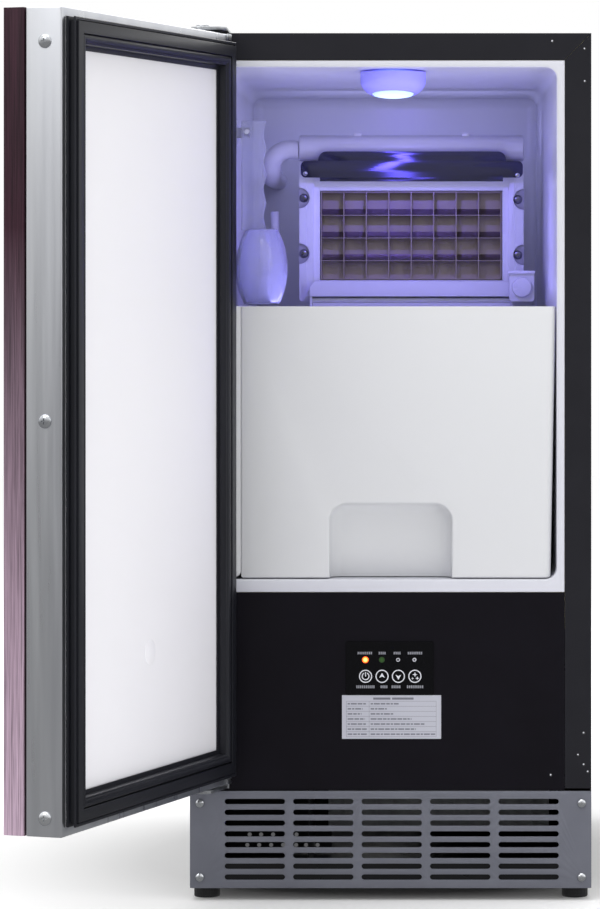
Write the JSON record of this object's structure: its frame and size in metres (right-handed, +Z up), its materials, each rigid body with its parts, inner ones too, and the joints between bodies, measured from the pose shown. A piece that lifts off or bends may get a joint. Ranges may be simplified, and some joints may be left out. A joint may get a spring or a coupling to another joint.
{
  "type": "under-counter ice maker",
  "caption": "Under-counter ice maker: black case, lit ice chamber with cube evaporator, pull-out bin and scoop, hinged wood-fronted door, touch controls and slotted kick grille.",
  "frame": {"origin": "bottom centre of the bounding box with the door open at rest, on the floor the feet stand on", "axes": "+Z up, +Y from the door side towards the back panel, +X to the right as seen from the front"},
  "size_m": [0.5052, 0.9372, 0.8115],
  "materials": {
    "case_paint": "satin",
    "front_paint": "matte",
    "brushed_door_steel": "satin",
    "zinc_plate": "satin",
    "grille_paint": "satin",
    "liner_plastic": "satin",
    "white_plastic": "satin",
    "pu_foam": "matte",
    "control_gloss": "gloss",
    "legend_film": "matte",
    "light_pipe": "gloss",
    "gasket_rubber": "matte",
    "veneer_wood": "satin",
    "clear_plastic": "gloss",
    "lamp_lens": "gloss",
    "condenser_metal": "satin",
    "cell_plate": "satin",
    "guard_steel": "polished",
    "black_plastic": "matte",
    "compressor_paint": "satin"
  },
  "bodies": {
    "cabinet": {"side_panel_left": "case_paint", "side_panel_right": "case_paint", "top_panel": "case_paint", "back_panel": "zinc_plate", "rear_service_cover": "zinc_plate", "base_pan": "zinc_plate", "insulation_foam": "pu_foam", "liner": "liner_plastic", "bin_guide_strip": "liner_plastic", "front_lower_panel": "front_paint", "control_overlay": "control_gloss", "indicator_light_pipe": "light_pipe", "legend_label": "legend_film", "kick_grille": "grille_paint", "top_hinge_bracket": "zinc_plate", "top_hinge_pin": "zinc_plate", "bottom_hinge_bracket": "zinc_plate", "lamp_housing": "white_plastic", "lamp_lens": "lamp_lens", "evaporator_frame": "white_plastic", "evaporator_grid": "cell_plate", "evaporator_rear_cover": "pu_foam", "distributor_tube": "white_plastic", "distributor_hose": "white_plastic", "splash_bar": "guard_steel", "water_tray": "white_plastic", "flap_switch_box": "white_plastic", "sump": "white_plastic", "circulation_pump": "black_plastic", "scoop_hook": "white_plastic", "compressor": "compressor_paint", "condenser_coil": "condenser_metal", "fan_bracket": "zinc_plate", "fan_motor": "compressor_paint", "drain_pump": "black_plastic", "water_valve": "white_plastic", "mains_inlet": "black_plastic", "air_divider": "zinc_plate", "grille_screw_left_top": "zinc_plate", "grille_screw_left_bottom": "zinc_plate", "grille_screw_right_top": "zinc_plate", "grille_screw_right_bottom": "zinc_plate"},
    "door": {"door_pan": "brushed_door_steel", "door_foam": "pu_foam", "door_inner_panel": "white_plastic", "door_gasket": "gasket_rubber", "door_wood_panel": "veneer_wood"},
    "bin": {"ice_bin": "white_plastic"},
    "scoop": {"scoop": "clear_plastic"},
    "flap": {"ice_flap": "white_plastic"},
    "fan": {"fan_blade": "black_plastic"},
    "power_button": {"button_power": "control_gloss"},
    "up_button": {"button_up": "control_gloss"},
    "down_button": {"button_down": "control_gloss"},
    "clean_button": {"button_clean": "control_gloss"},
    "foot_front_left_body": {"foot_front_left": "black_plastic"},
    "foot_front_right_body": {"foot_front_right": "black_plastic"},
    "foot_back_left_body": {"foot_back_left": "black_plastic"},
    "foot_back_right_body": {"foot_back_right": "black_plastic"}
  },
  "joints": [
    {"name": "door_hinge", "type": "hinge", "parent": "cabinet", "child": "door", "pos_m": [-0.10645, -0.12192, 0.4576], "axis": [0, 0, -1], "range_deg": [-109, 16]},
    {"name": "bin_slide", "type": "slide", "parent": "cabinet", "child": "bin", "axis": [0, -1, 0], "range_m": [0, 0.33]},
    {"name": "scoop_lift_off", "type": "slide", "parent": "cabinet", "child": "scoop", "axis": [0, -1, 0], "range_m": [0, 0.045]},
    {"name": "ice_flap_hinge", "type": "hinge", "parent": "cabinet", "child": "flap", "pos_m": [0.08425, 0.15458, 0.557], "axis": [-1, 0, 0], "range_deg": [0, 35]},
    {"name": "fan_spin", "type": "hinge", "parent": "cabinet", "child": "fan", "pos_m": [0.11115, 0.13058, 0.137], "axis": [0, 1, 0], "continuous": true},
    {"name": "power_press", "type": "slide", "parent": "cabinet", "child": "power_button", "axis": [0, 1, 0], "range_m": [0, 0.0005], "stiffness_N_per_m": 800},
    {"name": "up_press", "type": "slide", "parent": "cabinet", "child": "up_button", "axis": [0, 1, 0], "range_m": [0, 0.0005], "stiffness_N_per_m": 800},
    {"name": "down_press", "type": "slide", "parent": "cabinet", "child": "down_button", "axis": [0, 1, 0], "range_m": [0, 0.0005], "stiffness_N_per_m": 800},
    {"name": "clean_press", "type": "slide", "parent": "cabinet", "child": "clean_button", "axis": [0, 1, 0], "range_m": [0, 0.0005], "stiffness_N_per_m": 800},
    {"name": "foot_front_left_turn", "type": "hinge", "parent": "cabinet", "child": "foot_front_left_body", "pos_m": [-0.10585, -0.06242, 0.005], "axis": [0, 0, 1], "continuous": true},
    {"name": "foot_front_right_turn", "type": "hinge", "parent": "cabinet", "child": "foot_front_right_body", "pos_m": [0.23815, -0.06242, 0.005], "axis": [0, 0, 1], "continuous": true},
    {"name": "foot_back_left_turn", "type": "hinge", "parent": "cabinet", "child": "foot_back_left_body", "pos_m": [-0.10585, 0.42658, 0.005], "axis": [0, 0, 1], "continuous": true},
    {"name": "foot_back_right_turn", "type": "hinge", "parent": "cabinet", "child": "foot_back_right_body", "pos_m": [0.23815, 0.42658, 0.005], "axis": [0, 0, 1], "continuous": true}
  ]
}
